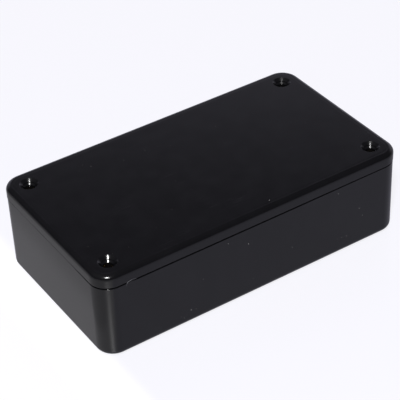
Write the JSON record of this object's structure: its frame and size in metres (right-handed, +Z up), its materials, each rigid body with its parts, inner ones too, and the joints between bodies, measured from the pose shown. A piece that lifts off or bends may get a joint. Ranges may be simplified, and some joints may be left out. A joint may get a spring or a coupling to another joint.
{
  "type": "plastic project box",
  "caption": "Rectangular moulded plastic enclosure with a lapped lid, countersunk corner screw holes, brass inserts in its pillars and board guides inside.",
  "frame": {"origin": "centre of the underside, on the surface that the box stands on", "axes": "+X along the box's length, +Y along its width, +Z up through the lid"},
  "size_m": [0.112, 0.062, 0.031],
  "materials": {
    "base_plastic": "moulded, satin gloss",
    "lid_plastic": "moulded, satin gloss",
    "insert_brass": "turned"
  },
  "bodies": {
    "root": {"base": "base_plastic", "lid": "lid_plastic", "insert_front_left": "insert_brass", "insert_front_right": "insert_brass", "insert_back_left": "insert_brass", "insert_back_right": "insert_brass"}
  },
  "joints": []
}
